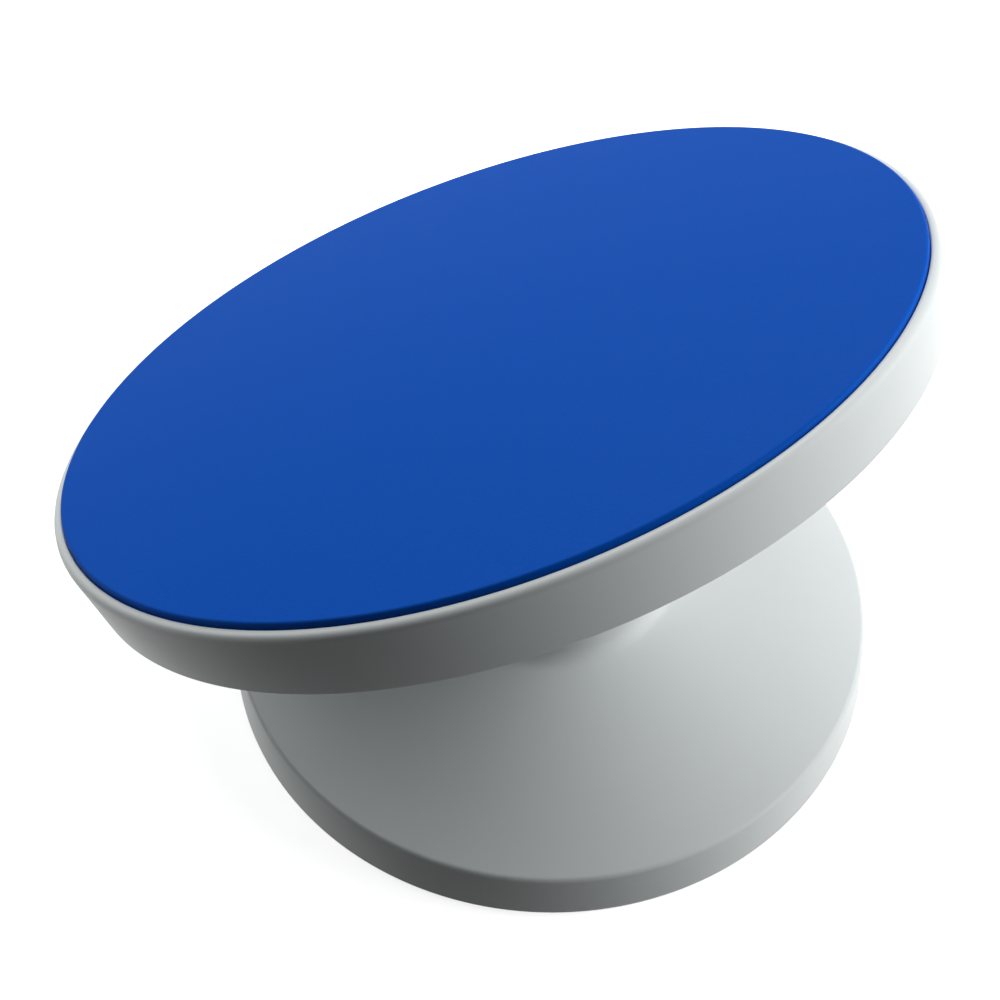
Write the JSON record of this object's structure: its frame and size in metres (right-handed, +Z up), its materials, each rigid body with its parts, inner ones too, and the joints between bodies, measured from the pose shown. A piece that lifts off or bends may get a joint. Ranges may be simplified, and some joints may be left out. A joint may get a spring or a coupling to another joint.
{
  "type": "cake turntable",
  "caption": "Tilting cake turntable: a round plate with a non-slip pad and a deep skirt turns on a ball bearing, on a head hinged in the neck of a wide cone base.",
  "frame": {"origin": "on the table, at the middle of the base, under the middle foot", "axes": "+Z up along the base's axis; the tilt axis runs along +Y; the plate is stored tilted, with its low side towards -X"},
  "size_m": [0.2848, 0.305, 0.201],
  "materials": {
    "white_plastic": "smooth white moulded plastic with a soft gloss",
    "blue_pad": "satin royal blue non-slip rubber",
    "grey_plastic": "light grey moulded plastic",
    "black_rubber": "matt black rubber",
    "zinc_steel": "zinc-plated steel",
    "bright_steel": "polished hardened steel",
    "bronze": "sintered bronze",
    "fibre": "brown pressed fibre"
  },
  "bodies": {
    "base": {"base_shell": "white_plastic", "bottom_cover": "grey_plastic", "cover_screw_1": "zinc_steel", "cover_screw_2": "zinc_steel", "cover_screw_3": "zinc_steel", "cover_screw_4": "zinc_steel", "cover_screw_5": "zinc_steel", "cover_screw_6": "zinc_steel", "rubber_foot_1": "black_rubber", "rubber_foot_2": "black_rubber", "rubber_foot_3": "black_rubber", "rubber_foot_4": "black_rubber", "rubber_foot_5": "black_rubber", "rubber_foot_6": "black_rubber", "middle_foot": "black_rubber", "pivot_bracket": "zinc_steel", "bracket_screw_1": "zinc_steel", "bracket_screw_2": "zinc_steel", "bracket_screw_3": "zinc_steel", "bracket_screw_4": "zinc_steel", "pivot_bolt": "zinc_steel", "spring_washer": "bright_steel", "pivot_nut": "zinc_steel", "friction_washer_1": "fibre", "friction_washer_2": "fibre"},
    "head": {"tilt_head": "white_plastic", "stop_pin": "bright_steel", "spindle": "zinc_steel", "spindle_nut": "zinc_steel", "lower_race": "bright_steel", "retaining_washer": "zinc_steel", "retaining_screw": "zinc_steel"},
    "ball_cage": {"bearing_cage": "grey_plastic", "bearing_ball_1": "bright_steel", "bearing_ball_2": "bright_steel", "bearing_ball_3": "bright_steel", "bearing_ball_4": "bright_steel", "bearing_ball_5": "bright_steel", "bearing_ball_6": "bright_steel", "bearing_ball_7": "bright_steel", "bearing_ball_8": "bright_steel", "bearing_ball_9": "bright_steel", "bearing_ball_10": "bright_steel", "bearing_ball_11": "bright_steel", "bearing_ball_12": "bright_steel"},
    "plate": {"plate_shell": "white_plastic", "non_slip_pad": "blue_pad", "upper_race": "bright_steel", "hub_bush": "bronze"}
  },
  "joints": [
    {"name": "tilt", "type": "hinge", "parent": "base", "child": "head", "pos_m": [0, 0, 0.065], "axis": [0, 1, 0], "range_deg": [0, 55]},
    {"name": "spin", "type": "hinge", "parent": "head", "child": "plate", "pos_m": [0, 0, 0.065], "axis": [-0.4617, 0, 0.887], "continuous": true},
    {"name": "cage_spin", "type": "hinge", "parent": "head", "child": "ball_cage", "pos_m": [0, 0, 0.065], "axis": [-0.4617, 0, 0.887], "continuous": true}
  ],
  "couplings": [
    {"joint": "cage_spin", "follows": "spin", "ratio": 0.5}
  ]
}
